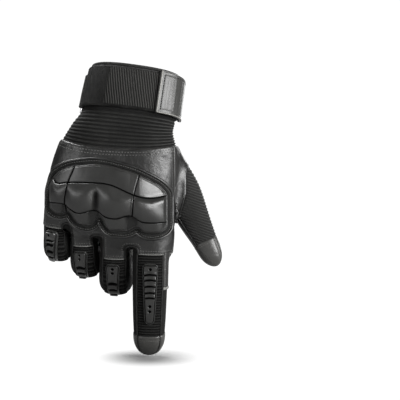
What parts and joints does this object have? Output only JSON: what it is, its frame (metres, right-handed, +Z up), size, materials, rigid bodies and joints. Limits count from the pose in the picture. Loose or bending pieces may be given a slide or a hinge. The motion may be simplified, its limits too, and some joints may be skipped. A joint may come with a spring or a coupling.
{
  "type": "tactical glove",
  "caption": "Hard-knuckle work glove for the right hand, shown as worn: ribbed knit, leather shell, moulded guards, wrist strap with pull tab.",
  "frame": {"origin": "centre of the cuff's mouth, where the hand goes in", "axes": "+Z up, out of the cuff's mouth and along the hand; the back of the hand faces -Y and the thumb points to +X"},
  "size_m": [0.1388, 0.0903, 0.2286],
  "materials": {
    "leather": "satin black grained leather with double stitched seams",
    "knit": "matte black ribbed stretch knit",
    "guard_rubber": "satin dark grey moulded rubber",
    "webbing": "black woven strap and loop fabric",
    "tab_leather": "smooth glossy grey leather with a stitched edge",
    "suede": "matte black suede-like microfibre",
    "touch_fabric": "teal conductive fabric with raised ridges",
    "ring_steel": "bright bent wire"
  },
  "bodies": {
    "root": {"back_leather": "leather", "palm_leather": "leather", "thumb_gusset": "leather", "thumb_cap": "leather", "index_cap": "leather", "middle_cap": "leather", "ring_cap": "leather", "little_cap": "leather", "index_side_strip": "leather", "guard_surround": "leather", "wrist_knit": "knit", "thumb_sleeve": "knit", "index_sleeve": "knit", "middle_sleeve": "knit", "ring_sleeve": "knit", "little_sleeve": "knit", "knuckle_guard": "guard_rubber", "index_guard": "guard_rubber", "middle_guard": "guard_rubber", "ring_guard": "guard_rubber", "little_guard": "guard_rubber", "cuff_binding": "webbing", "wrist_strap": "webbing", "strap_patch": "webbing", "ring_keeper": "webbing", "strap_fold": "webbing", "hang_loop": "webbing", "strap_tab": "tab_leather", "palm_patch": "suede", "thumb_patch": "suede", "thumb_touch_pad": "touch_fabric", "index_touch_pad": "touch_fabric", "middle_touch_pad": "touch_fabric", "strap_ring": "ring_steel"}
  },
  "joints": []
}
